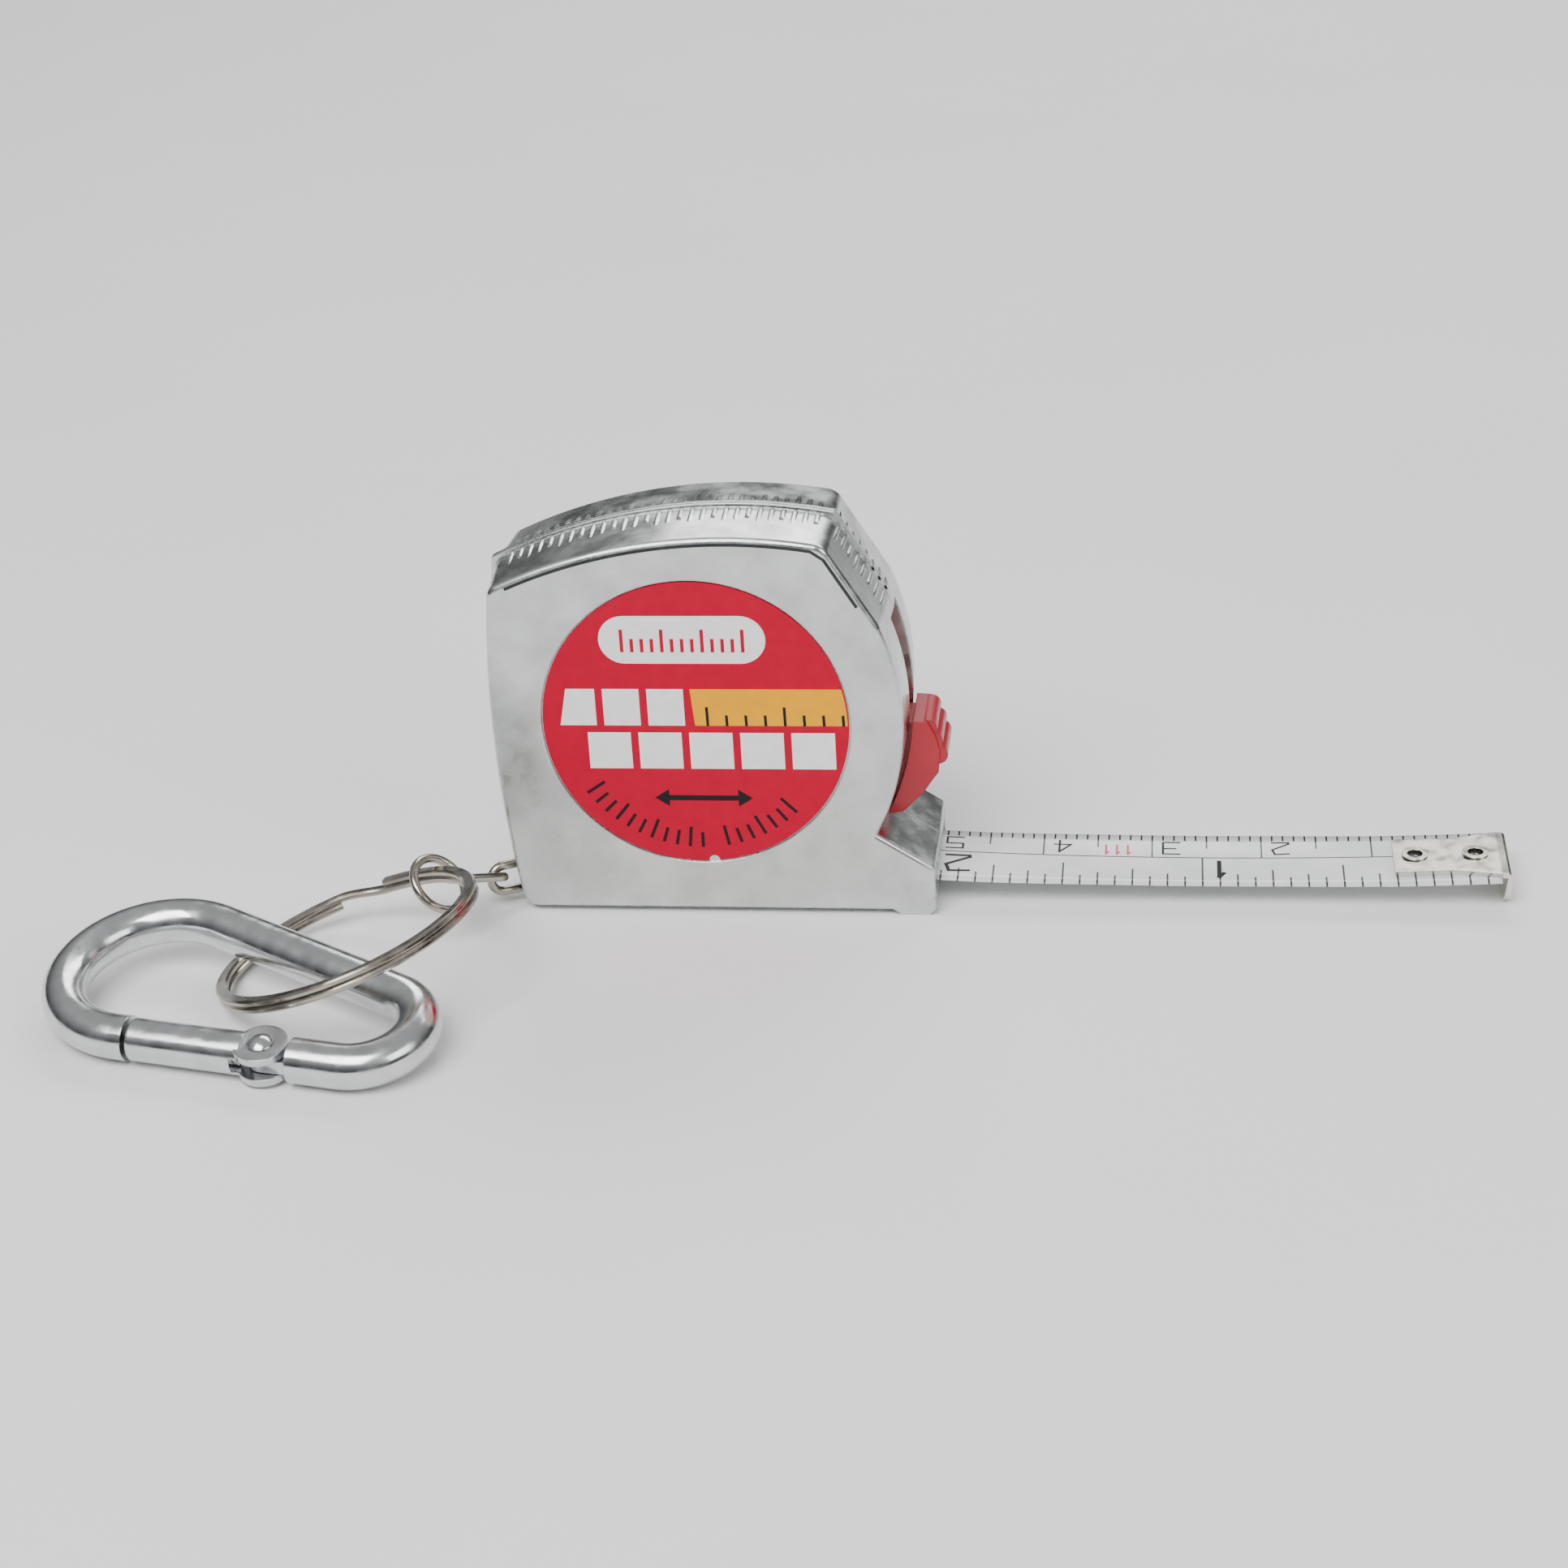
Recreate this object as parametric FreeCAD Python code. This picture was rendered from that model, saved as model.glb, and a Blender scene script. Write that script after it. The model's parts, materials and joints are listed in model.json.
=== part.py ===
"""Key-ring tape measure: 1 m spring-return tape in a two-half case, with its chain, split ring and snap hook.

Millimetres, +Z up, +X the way the blade pulls out, -Y the labelled side of the case.
The origin is on the flat base of the case, midway along it, on the plane where the two halves meet.
"""
import FreeCAD, Part
import math
import os

V = FreeCAD.Vector

# ---- case ----
HALF_WIDTH = 6.85          # seam to the outside of either broad face
WALL = 1.1
CROWN = 0.4                # the rim swells this much from the face to the seam
FACE_ROUND = 0.5           # rounding of the broad face's edge
BASE_SPARE = 0.5           # the outline runs this far below the base before it is trimmed flat
SEAM_NEAR, SEAM_FAR = -0.05, -0.01      # where the two halves stop, a hair's gap between them
RIDGE_HEIGHT = 0.75        # raised bead along the seam, above the face outline
RIDGE_WIDTH = 0.42
FRONT_X = 19.95            # front of the nose
NOSE_TOP = 4.2             # height of the nose at its front
NOTCH_X, NOTCH_Z = 14.7, 7.6   # where the nose's slope meets the curved front wall
LIP_X = 16.0               # the lip under the mouth begins here
LIP_DROP = 0.6             # and hangs this far below the base
FRONT_C, FRONT_R = (-6.9, 18.75), 24.4     # curved front wall
CHAMFER = ((11.6, 34.75), (15.75, 27.9))  # straight slope between roof and front wall
ROOF_C, ROOF_R = (2.2, -11.6), 48.1
REAR_C, REAR_R = (94.5, 18.6), 114.15
CORNER_ROUNDS = {"heel": 2.2, "lip": 0.9, "nose": 0.6, "brow": 2.0, "crest": 1.6, "nape": 1.4}

# ---- label, drum and spring, all round one axis ----
AXIS_X, AXIS_Z = -1.1, 18.64
LABEL_R, LABEL_THICK = 13.8, 0.15
RECESS_R, RECESS_DEPTH = 13.95, 0.2
POST_R, POST_END, BOSS_R, BOSS_END = 2.1, -5.25, 2.8, -5.32
SCREW_R, SCREW_HEAD_R, SCREW_HEAD_THICK, SCREW_TIP = 0.8, 1.6, 0.7, 1.5
ARBOR_R = 3.0
RUNNING_GAP = 0.05
DRUM_BORE_R = ARBOR_R + RUNNING_GAP
DRUM_R, DRUM_WALL = 11.9, 0.8
DRUM_HALF = 4.85
FLANGE_R, FLANGE_THICK = 14.2, 0.4
BLADE_WIDTH, BLADE_THICK = 9.5, 0.12
COIL_IN_R, COIL_PITCH, COIL_TURNS, COIL_THICK = 11.94, 0.13, 12, 0.11
SPRING_THICK, SPRING_HALF = 0.16, 4.1
SPRING_IN_R, SPRING_OUT_R, SPRING_TURNS = 3.4, 10.8, 9

# ---- blade and hook ----
MOUTH_HALF, MOUTH_LOW, MOUTH_HIGH = 5.05, 1.15, 3.2
BLADE_Z_MOUTH = 1.88       # underside of the blade at the mouth
BLADE_SLOPE = -0.0457      # it leaves the mouth sloping down
BLADE_CURL = 0.00099       # and curls back up, as a parabola
BLADE_INNER_SLOPE = -0.1347
BLADE_IN_X, BLADE_END_X = -2.4, 70.6
HOOK_START_X, HOOK_FLARE_X, HOOK_END_X = 61.2, 66.8, 71.65
HOOK_HALF, HOOK_HALF_END = 3.05, 4.0
HOOK_THICK, HOOK_BEND_R, HOOK_LEAN = 0.5, 0.7, 0.35
HOOK_FOOT_Z = -0.55
EYELET_X = (63.15, 68.55)
EYELET_R, EYELET_BORE_R, EYELET_RIM_R, EYELET_RIM = 0.88, 0.7, 1.2, 0.12

# ---- thumb lock: angles are about the centre of the curved front wall, up from +X ----
SLOT_HALF, SLOT_ANGLES = 2.4, (-24.2, 19.7)
BUTTON_HALF, STEM_HALF, RUNNER_HALF = 3.0, 2.1, 3.2
STEM_ANGLES, RUNNER_ANGLES = (-23.6, -5.0), (-41.3, 20.0)
RUNNER_R = (21.9, 23.0)
BUTTON_FOOT_R = FRONT_R + 0.55
BUTTON_SHAPE = ((24.95, -3.7), (26.3, -3.7), (27.05, -6.3), (27.65, -9.5), (27.95, -13.8), (27.6, -15.7),
                (27.2, -18.6), (26.7, -21.0), (26.1, -24.2), (25.1, -25.8), (24.95, -25.8))
GRIP_ANGLES, GRIP_R = (-5.4, -8.0, -10.6), 0.32

# ---- anchor at the rear lower corner ----
PIN_X, PIN_Z, PIN_R, PIN_HALF = -17.0, 1.85, 0.4, 6.3
BAY_X, BAY_Z, BAY_HALF, BAY_WALL = -15.0, 3.9, 5.75, 1.0

# ---- chain ----
LINK_WIRE_R = 0.42
LINK_WIDTH, LINK_LENGTH = 2.5, 6.05    # of the wire's centre line
LINK_1_END, LINK_1_DIR, LINK_1_WIDTH = V(-16.123, -3.064, 1.788), V(-0.8515, -0.5209, 0.0601), V(-0.015, 0.139, 0.990)
LINK_2_END, LINK_2_DIR, LINK_2_WIDTH = V(-20.568, -5.502, 2.175), V(-0.5483, -0.7521, 0.3657), V(-0.835, 0.465, -0.296)
JUMP_R = 2.7
JUMP_C, JUMP_NORMAL = V(-24.81, -11.57, 4.71), V(0.666, -0.248, 0.703)

# ---- split ring ----
RING_R, RING_RADIAL, RING_TURN, RING_EDGE = 11.8, 1.15, 0.66, 0.17
RING_C, RING_TILT, RING_AZIMUTH = V(-31.15, -21.0, 4.4), 20.4, 161.5

# ---- snap hook: u runs along its gate to the small end, v from the gate to the spine ----
SNAP_O = V(-47.5, -33.6, 1.56)
SNAP_HEADING, SNAP_TILT = -9.9, 8.0
SNAP_BIG, SNAP_BIG_R = (-1.2, 8.2), 8.3
SNAP_SMALL, SNAP_SMALL_R = (19.6, 4.5), 5.0
SNAP_WIRE_R = 2.0
GATE_R, GATE_BORE_R = 1.9, 1.2
GATE_NOSE_U, GATE_FORK_U, GATE_PIVOT_U = 0.3, 10.2, 12.6
GATE_EAR_R, GATE_EAR_HALF, FORK_HALF = 2.35, 1.45, 0.75
TONGUE_HALF, TONGUE_R = 0.65, 1.35
WIRE_END_U = 15.4
RIVET_R, RIVET_HEAD_R, RIVET_HEAD_THICK = 0.6, 1.2, 0.55


# ---------------------------------------------------------------- helpers
def unit(vector):
    return vector / vector.Length


def flat(points_edges, y=0.0):
    """A face in the XZ plane at the given y, from a closed list of edges."""
    face = Part.Face(Part.Wire(points_edges))
    face.translate(V(0, y, 0))
    return face


def polygon(points, y0, y1):
    """A prism along Y with the given (x, z) corners."""
    corners = [V(x, y0, z) for x, z in points]
    return Part.Face(Part.makePolygon(corners + corners[:1])).extrude(V(0, y1 - y0, 0))


def rod_y(x, z, radius, y0, y1):
    """A cylinder along Y between two depths."""
    return Part.makeCylinder(radius, y1 - y0, V(x, y0, z), V(0, 1, 0))


def ring_y(outer, inner, y0, y1):
    """A tube along Y round the drum's axis."""
    return rod_y(AXIS_X, AXIS_Z, outer, y0, y1).cut(rod_y(AXIS_X, AXIS_Z, inner, y0, y1))


def box(x0, x1, y0, y1, z0, z1):
    return Part.makeBox(x1 - x0, y1 - y0, z1 - z0, V(x0, y0, z0))


def mirror_y(shape):
    return shape.mirror(V(0, 0, 0), V(0, 1, 0))


def polar(centre, radius, degrees):
    angle = math.radians(degrees)
    return (centre[0] + radius * math.cos(angle), centre[1] + radius * math.sin(angle))


def sector(r0, r1, a0, a1, half):
    """A curved slab about the front wall's centre, between two radii and two angles."""
    def arc(radius, start, end):
        ends = [polar(FRONT_C, radius, a) for a in (start, (start + end) / 2, end)]
        return Part.Arc(*[V(x, 0, z) for x, z in ends]).toShape()

    outer, inner = arc(r1, a0, a1), arc(r0, a1, a0)
    sides = [Part.makeLine(outer.Vertexes[-1].Point, inner.Vertexes[0].Point),
             Part.makeLine(inner.Vertexes[-1].Point, outer.Vertexes[0].Point)]
    return flat([outer, sides[0], inner, sides[1]], -half).extrude(V(0, 2 * half, 0))


def sweep(path, radius):
    """Round wire along a smooth path."""
    start = path.OrderedEdges[0]
    point, tangent = start.valueAt(start.FirstParameter), start.tangentAt(start.FirstParameter)
    section = Part.Wire(Part.makeCircle(radius, point, tangent))
    return path.makePipeShell([section], True, True)


def half_turns(r_start, r_end, turns, centre):
    """A flat spiral in the XZ plane, as half circles that each grow by the same step."""
    edges = []
    step = (r_end - r_start) / (2.0 * turns)
    x, side = centre[0] + r_start, 1.0
    radius = r_start + step / 2.0
    for _ in range(int(2 * turns)):
        x_next = x - side * 2.0 * radius
        middle = (x + x_next) / 2.0
        points = [V(x, 0, centre[1]), V(middle, 0, centre[1] + side * radius), V(x_next, 0, centre[1])]
        edges.append(Part.Arc(*points).toShape())
        x, side, radius = x_next, -side, radius + step
    return edges


def spiral_strip(r_start, r_end, turns, thick, half, centre):
    """A wound strip of even thickness."""
    inner = half_turns(r_start, r_end, turns, centre)
    outer = half_turns(r_start + thick, r_end + thick, turns, centre)
    ends = [Part.makeLine(inner[i].Vertexes[i].Point, outer[i].Vertexes[i].Point) for i in (0, -1)]
    wire = Part.Wire(Part.__sortEdges__(inner + outer + ends))
    face = Part.Face(wire)
    face.translate(V(0, -half, 0))
    return face.extrude(V(0, 2 * half, 0))


# ---------------------------------------------------------------- case outline
def line_through(a, b, inset):
    """A line moved to its left by inset, as a point and a direction."""
    dx, dz = b[0] - a[0], b[1] - a[1]
    length = math.hypot(dx, dz)
    dx, dz = dx / length, dz / length
    return ("line", (a[0] - dz * inset, a[1] + dx * inset), (dx, dz))


def meet(first, second, near):
    """Where two lines or circles cross, taking the crossing nearest to a point."""
    def geometry(item):
        if item[0] == "line":
            (x, z), (dx, dz) = item[1], item[2]
            return Part.makeLine(V(x - 300 * dx, 0, z - 300 * dz), V(x + 300 * dx, 0, z + 300 * dz))
        return Part.makeCircle(item[2], V(item[1][0], 0, item[1][1]), V(0, 1, 0))

    found = geometry(first).distToShape(geometry(second))[1]
    curves = [geometry(item).Curve for item in (first, second)]
    points = [V(p.X, p.Y, p.Z) for p in curves[0].intersectCC(curves[1])] or [found[0][0]]
    return min(points, key=lambda p: p.distanceToPoint(V(near[0], 0, near[1])))


def outline(inset):
    """The seven edges of the case seen from its side, moved inwards by inset, with sharp corners."""
    nose_inset = max(inset, 0.3 * inset)
    base = line_through((-30.0, 0.0), (30.0, 0.0), inset if inset > 0.0 else -BASE_SPARE)
    front = line_through((FRONT_X, 0.0), (FRONT_X, 10.0), nose_inset)
    slope = line_through((FRONT_X, NOSE_TOP), (NOTCH_X, NOTCH_Z), nose_inset)
    wall = ("circle", FRONT_C, FRONT_R - inset)
    chamfer = line_through(CHAMFER[1], CHAMFER[0], inset)
    roof = ("circle", ROOF_C, ROOF_R - inset)
    rear = ("circle", REAR_C, REAR_R - inset)
    heel = meet(base, rear, (-18.0, 0.0))
    toe = meet(base, front, (20.0, 0.0))
    nose = meet(front, slope, (20.0, 4.0))
    notch = meet(slope, wall, (14.5, 7.5))
    brow = meet(wall, chamfer, CHAMFER[1])
    crest = meet(chamfer, roof, CHAMFER[0])
    nape = meet(roof, rear, (-18.5, 32.0))

    def bulge(start, end, circle):
        (cx, cz), radius = circle[1], circle[2]
        middle = (start + end) / 2.0 - V(cx, 0, cz)
        return Part.Arc(start, V(cx, 0, cz) + unit(middle) * radius, end).toShape()

    return [Part.makeLine(heel, toe), Part.makeLine(toe, nose), Part.makeLine(nose, notch),
            bulge(notch, brow, wall), Part.makeLine(brow, crest), bulge(crest, nape, roof),
            bulge(nape, heel, rear)]


def outline_solid(insets, depths):
    """A slab between the outline at one inset and depth and at another."""
    wires = []
    for inset, depth in zip(insets, depths):
        wire = Part.Wire(outline(inset))
        wire.translate(V(0, depth, 0))
        wires.append(wire)
    return Part.makeLoft(wires, True, True)


def round_corners(solid, face_y):
    """Round the corners of the outline, then the edge of the broad face."""
    spots = {"heel": (-18.4, 0.0), "nose": (FRONT_X, NOSE_TOP), "brow": CHAMFER[1],
             "crest": CHAMFER[0], "nape": (-18.6, 32.0), "lip": (FRONT_X, -LIP_DROP)}
    for name, (x, z) in spots.items():
        def offset(edge):
            middle = edge.CenterOfMass
            return math.hypot(middle.x - x, middle.z - z)

        across = [e for e in solid.Edges if abs(e.Vertexes[0].Y - e.Vertexes[-1].Y) > 2.0]
        solid = solid.makeFillet(CORNER_ROUNDS[name], [min(across, key=offset)])
    rim = [e for e in solid.Edges
           if all(abs(v.Y - face_y) < 1e-4 for v in e.Vertexes) and abs(e.CenterOfMass.y - face_y) < 1e-4]
    return solid.makeFillet(FACE_ROUND, rim)


# ---------------------------------------------------------------- case halves
def half_case(seam_y):
    """A half with its broad face on the -Y side, before its own details."""
    body = outline_solid((-CROWN, 0.0), (seam_y, -HALF_WIDTH))
    lip = polygon([(LIP_X, 1.0), (LIP_X, 0.0), (LIP_X + 0.8, -LIP_DROP), (FRONT_X - 0.6, -LIP_DROP),
                   (FRONT_X, 0.0), (FRONT_X, 1.0)], -HALF_WIDTH, seam_y)
    body = round_corners(body, -HALF_WIDTH).cut(box(-40.0, 40.0, -10.0, 10.0, -5.0, 0.0)).fuse(lip)
    ridge = outline_solid((-RIDGE_HEIGHT, -RIDGE_HEIGHT), (-RIDGE_WIDTH, seam_y))
    along_top = polygon([(-30, 4.5), (0, 4.5), (0, 22), (14.0, 30.8), (30, 40), (30, 60), (-30, 60)], -1.0, 0.0)
    body = body.fuse(ridge.common(along_top))
    heel = box(-13.5, -12.0, -5.0, seam_y, -LIP_DROP, 0.5)
    body = body.fuse(heel)

    hollow = Part.Face(Part.Wire(outline(WALL)))
    hollow.translate(V(0, -HALF_WIDTH + WALL, 0))
    hollow = hollow.extrude(V(0, HALF_WIDTH + 1.0, 0))
    bay_block = box(-40.0, BAY_X + BAY_WALL, -8.0, 8.0, -5.0, BAY_Z + BAY_WALL)
    body = body.cut(hollow.cut(bay_block))
    body = body.cut(box(-40.0, BAY_X, -BAY_HALF, 8.0, -5.0, BAY_Z))
    body = body.cut(rod_y(PIN_X, PIN_Z, PIN_R, -PIN_HALF, 1.0))
    body = body.cut(box(FRONT_X - 3.0, FRONT_X + 3.0, -MOUTH_HALF, 8.0, MOUTH_LOW, MOUTH_HIGH))
    slot = sector(FRONT_R - 2.0, FRONT_R + 4.0, SLOT_ANGLES[0], SLOT_ANGLES[1], SLOT_HALF)
    return body.cut(slot)


def front_shell():
    body = half_case(SEAM_NEAR)
    floor_y = -HALF_WIDTH + RECESS_DEPTH
    body = body.fuse(rod_y(AXIS_X, AXIS_Z, BOSS_R, -HALF_WIDTH + WALL, BOSS_END))
    body = body.cut(rod_y(AXIS_X, AXIS_Z, RECESS_R, -HALF_WIDTH - 1.0, floor_y))
    body = body.cut(rod_y(AXIS_X, AXIS_Z, SCREW_HEAD_R + 0.1, floor_y - 0.5, floor_y + SCREW_HEAD_THICK + 0.05))
    return body.cut(rod_y(AXIS_X, AXIS_Z, SCREW_R + 0.05, floor_y, 0.0))


def rear_shell():
    body = mirror_y(half_case(-SEAM_FAR))
    body = body.fuse(rod_y(AXIS_X, AXIS_Z, POST_R, POST_END, HALF_WIDTH - WALL))
    return body.cut(rod_y(AXIS_X, AXIS_Z, SCREW_R, POST_END - 1.0, SCREW_TIP + 0.6))


def front_label():
    floor_y = -HALF_WIDTH + RECESS_DEPTH
    disc = rod_y(AXIS_X, AXIS_Z, LABEL_R, floor_y - LABEL_THICK, floor_y)
    x, z = polar((AXIS_X, AXIS_Z), LABEL_R, -86.0)
    return disc.cut(rod_y(x, z, 0.5, floor_y - 1.0, floor_y + 1.0))


def case_screw():
    head_y = -HALF_WIDTH + RECESS_DEPTH + 0.05
    seat_y = -HALF_WIDTH + RECESS_DEPTH + SCREW_HEAD_THICK + 0.05
    head = rod_y(AXIS_X, AXIS_Z, SCREW_HEAD_R, head_y, seat_y)
    for turn in (0.0, 90.0):
        slot = box(-1.0, 1.0, head_y - 0.5, head_y + 0.35, -0.2, 0.2)
        slot.rotate(V(0, 0, 0), V(0, 1, 0), turn)
        slot.translate(V(AXIS_X, 0, AXIS_Z))
        head = head.cut(slot)
    return head.fuse(rod_y(AXIS_X, AXIS_Z, SCREW_R, seat_y, SCREW_TIP))


def spring_arbor():
    tube = ring_y(ARBOR_R, POST_R, POST_END + 0.1, HALF_WIDTH - WALL)
    slit = box(AXIS_X + POST_R - 0.2, AXIS_X + ARBOR_R + 0.5, -SPRING_HALF, SPRING_HALF, AXIS_Z - 0.15, AXIS_Z + 0.15)
    return tube.cut(slit)


def anchor_pin():
    return rod_y(PIN_X, PIN_Z, PIN_R, -PIN_HALF, PIN_HALF)


# ---------------------------------------------------------------- thumb lock
def lock_slider():
    points = [polar(FRONT_C, r, a) for r, a in BUTTON_SHAPE]
    button = polygon(points, -BUTTON_HALF, BUTTON_HALF)
    button = button.cut(sector(FRONT_R - 3.0, BUTTON_FOOT_R, -40.0, 20.0, BUTTON_HALF + 1.0))
    for angle in GRIP_ANGLES:
        x, z = polar(FRONT_C, 26.35 - (angle + 5.4) * 0.24, angle)
        button = button.fuse(rod_y(x, z, 0.55 + GRIP_R, -BUTTON_HALF + 0.25, BUTTON_HALF - 0.25))
    stem = sector(RUNNER_R[1] - 0.4, BUTTON_FOOT_R + 0.4, STEM_ANGLES[0], STEM_ANGLES[1], STEM_HALF)
    runner = sector(RUNNER_R[0], RUNNER_R[1], RUNNER_ANGLES[0], RUNNER_ANGLES[1], RUNNER_HALF)
    return button.fuse([stem, runner]).removeSplitter()


# ---------------------------------------------------------------- drum and its springs
def drum():
    hub = ring_y(DRUM_R, DRUM_R - DRUM_WALL, -DRUM_HALF, DRUM_HALF)
    web = ring_y(FLANGE_R, DRUM_BORE_R, DRUM_HALF, DRUM_HALF + FLANGE_THICK)
    return hub.fuse(web)


def drum_cover():
    cover = ring_y(FLANGE_R, DRUM_BORE_R, -DRUM_HALF - FLANGE_THICK, -DRUM_HALF)
    for step in range(6):
        x, z = polar((AXIS_X, AXIS_Z), 7.4, 60.0 * step)
        cover = cover.cut(rod_y(x, z, 1.6, -DRUM_HALF - 1.0, 0.0))
    return cover


def power_spring():
    return spiral_strip(SPRING_IN_R, SPRING_OUT_R, SPRING_TURNS, SPRING_THICK, SPRING_HALF, (AXIS_X, AXIS_Z))


def tape_coil():
    r_end = COIL_IN_R + COIL_PITCH * COIL_TURNS
    return spiral_strip(COIL_IN_R, r_end, COIL_TURNS, COIL_THICK, BLADE_WIDTH / 2.0, (AXIS_X, AXIS_Z))


# ---------------------------------------------------------------- blade and end hook
def blade_z(x):
    """Height of the blade's underside."""
    s = x - (FRONT_X + 0.25)
    if s <= 0.0:
        return BLADE_Z_MOUTH + BLADE_INNER_SLOPE * s
    return BLADE_Z_MOUTH + BLADE_SLOPE * s + BLADE_CURL * s * s


def blade_edge(rise):
    """The blade seen from its side: straight inside the case, curved outside."""
    mouth_x = FRONT_X + 0.25
    outside = [V(mouth_x + (BLADE_END_X - mouth_x) * i / 6.0, 0, 0) for i in range(7)]
    for point in outside:
        point.z = blade_z(point.x) + rise
    curve = Part.BSplineCurve()
    curve.interpolate(outside)
    start = V(BLADE_IN_X, 0, blade_z(BLADE_IN_X) + rise)
    return [Part.makeLine(start, outside[0]), curve.toShape()]


def tape_blade():
    low, high = blade_edge(0.0), blade_edge(BLADE_THICK)
    ends = [Part.makeLine(low[0].Vertexes[0].Point, high[0].Vertexes[0].Point),
            Part.makeLine(low[1].Vertexes[-1].Point, high[1].Vertexes[-1].Point)]
    wire = Part.Wire(Part.__sortEdges__(low + high + ends))
    face = Part.Face(wire)
    face.translate(V(0, -BLADE_WIDTH / 2.0, 0))
    blade = face.extrude(V(0, BLADE_WIDTH, 0))
    for x in EYELET_X:
        blade = blade.cut(Part.makeCylinder(EYELET_R, 6.0, V(x, 0, 0)))
    return blade


def end_hook():
    """A plate lying on the blade's end, bent down over it."""
    inner_x = HOOK_END_X - HOOK_THICK
    stations = [HOOK_START_X + (BLADE_END_X - HOOK_START_X) * i / 8.0 for i in range(9)]
    underside = [(x, blade_z(x) + BLADE_THICK + 0.015) for x in stations]
    top_z = underside[-1][1] + HOOK_THICK
    side = underside + [(inner_x, underside[-1][1]), (inner_x - HOOK_LEAN, HOOK_FOOT_Z),
                        (HOOK_END_X - HOOK_LEAN, HOOK_FOOT_Z), (HOOK_END_X, top_z - HOOK_BEND_R)]
    for angle in (22.5, 45.0, 67.5):
        side.append(polar((HOOK_END_X - HOOK_BEND_R, top_z - HOOK_BEND_R), HOOK_BEND_R, angle))
    side += [(x, z + HOOK_THICK) for x, z in reversed(underside)]
    solid = polygon(side, -HOOK_HALF_END, HOOK_HALF_END)
    flare = HOOK_HALF_END - 0.15
    plan = [(HOOK_START_X - 1, HOOK_HALF), (HOOK_FLARE_X, HOOK_HALF), (HOOK_FLARE_X + 1.2, HOOK_HALF + 0.25),
            (HOOK_END_X - 1.5, flare), (HOOK_END_X - 0.4, HOOK_HALF_END), (HOOK_END_X + 1, HOOK_HALF_END)]
    corners = [V(x, y, -3) for x, y in plan] + [V(x, -y, -3) for x, y in reversed(plan)]
    outline_prism = Part.Face(Part.makePolygon(corners + corners[:1])).extrude(V(0, 0, 8))
    solid = solid.common(outline_prism)
    for side_y in (-1.0, 1.0):
        notch = [V(60, side_y * HOOK_HALF_END, HOOK_FOOT_Z - 0.01), V(60, side_y * (HOOK_HALF_END - 0.9), HOOK_FOOT_Z - 0.01),
                 V(60, side_y * HOOK_HALF_END, HOOK_FOOT_Z + 0.9)]
        solid = solid.cut(Part.Face(Part.makePolygon(notch + notch[:1])).extrude(V(20, 0, 0)))
    for x in EYELET_X:
        solid = solid.cut(Part.makeCylinder(EYELET_R, 6.0, V(x, 0, 0)))
    return solid


def hook_eyelets():
    """Two tubular rivets, rolled over above the hook and under the blade."""
    solids = []
    for x in EYELET_X:
        low, high = blade_z(x) - 0.06, blade_z(x) + BLADE_THICK + HOOK_THICK + 0.08
        tube = Part.makeCylinder(EYELET_R - 0.02, high - low, V(x, 0, low))
        upper = Part.makeCylinder(EYELET_RIM_R, EYELET_RIM, V(x, 0, high))
        lower = Part.makeCylinder(EYELET_RIM_R, EYELET_RIM, V(x, 0, low - EYELET_RIM))
        bore = Part.makeCylinder(EYELET_BORE_R, 8.0, V(x, 0, low - 3.0))
        solids.append(tube.fuse([upper, lower]).cut(bore))
    return Part.makeCompound(solids)


# ---------------------------------------------------------------- chain, rings
def placed(shape, origin, x_dir, y_dir):
    """Move a shape from its own frame, drawn along x and y, to the given directions."""
    x_dir = unit(x_dir)
    z_dir = unit(x_dir.cross(y_dir))
    y_dir = z_dir.cross(x_dir)
    matrix = FreeCAD.Matrix(x_dir.x, y_dir.x, z_dir.x, origin.x, x_dir.y, y_dir.y, z_dir.y, origin.y,
                            x_dir.z, y_dir.z, z_dir.z, origin.z, 0, 0, 0, 1)
    moved = shape.copy()
    moved.Placement = FreeCAD.Placement(matrix).multiply(shape.Placement)
    return moved


def chain_link():
    """One closed oval link along +x from its centre line's right end at the origin to -x, width along y."""
    r, straight = LINK_WIDTH / 2.0, LINK_LENGTH - LINK_WIDTH
    near, far = -r, -r - straight
    edges = [Part.makeLine(V(near, -r, 0), V(far, -r, 0)),
             Part.Arc(V(far, -r, 0), V(far - r, 0, 0), V(far, r, 0)).toShape(),
             Part.makeLine(V(far, r, 0), V(near, r, 0)),
             Part.Arc(V(near, r, 0), V(0, 0, 0), V(near, -r, 0)).toShape()]
    return sweep(Part.Wire(edges), LINK_WIRE_R)


def chain_link_1():
    return placed(chain_link(), LINK_1_END, LINK_1_DIR * -1.0, LINK_1_WIDTH)


def chain_link_2():
    return placed(chain_link(), LINK_2_END, LINK_2_DIR * -1.0, LINK_2_WIDTH)


def jump_ring():
    torus = Part.makeTorus(JUMP_R, LINK_WIRE_R)
    gap = Part.makeBox(2.0, 0.05, 2.0, V(JUMP_R - 1.0, -0.025, -1.0))
    torus = torus.cut(gap)
    torus.rotate(V(0, 0, 0), V(0, 0, 1), 200.0)
    normal = unit(JUMP_NORMAL)
    return placed(torus, JUMP_C, normal.cross(V(0, 0, 1)), normal.cross(normal.cross(V(0, 0, 1))))


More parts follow.
